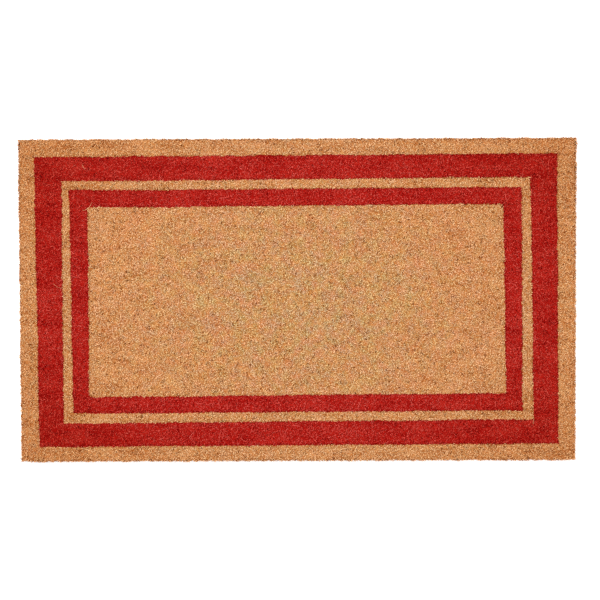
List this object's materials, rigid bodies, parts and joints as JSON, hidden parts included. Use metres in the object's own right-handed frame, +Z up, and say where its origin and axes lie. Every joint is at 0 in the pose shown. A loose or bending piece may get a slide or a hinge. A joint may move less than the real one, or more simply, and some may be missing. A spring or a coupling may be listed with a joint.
{
  "type": "door mat",
  "caption": "Rectangular coir door mat: natural cut pile on a flexible vinyl backing, with a red double border dyed into the pile.",
  "frame": {"origin": "centre of the mat's underside, on the floor", "axes": "+X along the mat's length to its right end, +Y across it from the front edge to the back edge, +Z up out of the pile"},
  "size_m": [0.737, 0.427, 0.015],
  "materials": {
    "natural_coir": "matte",
    "dyed_coir": "matte",
    "vinyl_backing": "matte"
  },
  "bodies": {
    "root": {"backing_sheet": "vinyl_backing", "margin_pile_front": "natural_coir", "margin_pile_back": "natural_coir", "margin_pile_left": "natural_coir", "margin_pile_right": "natural_coir", "outer_band_pile_front": "dyed_coir", "outer_band_pile_back": "dyed_coir", "outer_band_pile_left": "dyed_coir", "outer_band_pile_right": "dyed_coir", "stripe_pile_front": "natural_coir", "stripe_pile_back": "natural_coir", "stripe_pile_left": "natural_coir", "stripe_pile_right": "natural_coir", "inner_band_pile_front": "dyed_coir", "inner_band_pile_back": "dyed_coir", "inner_band_pile_left": "dyed_coir", "inner_band_pile_right": "dyed_coir", "centre_pile": "natural_coir"}
  },
  "joints": []
}
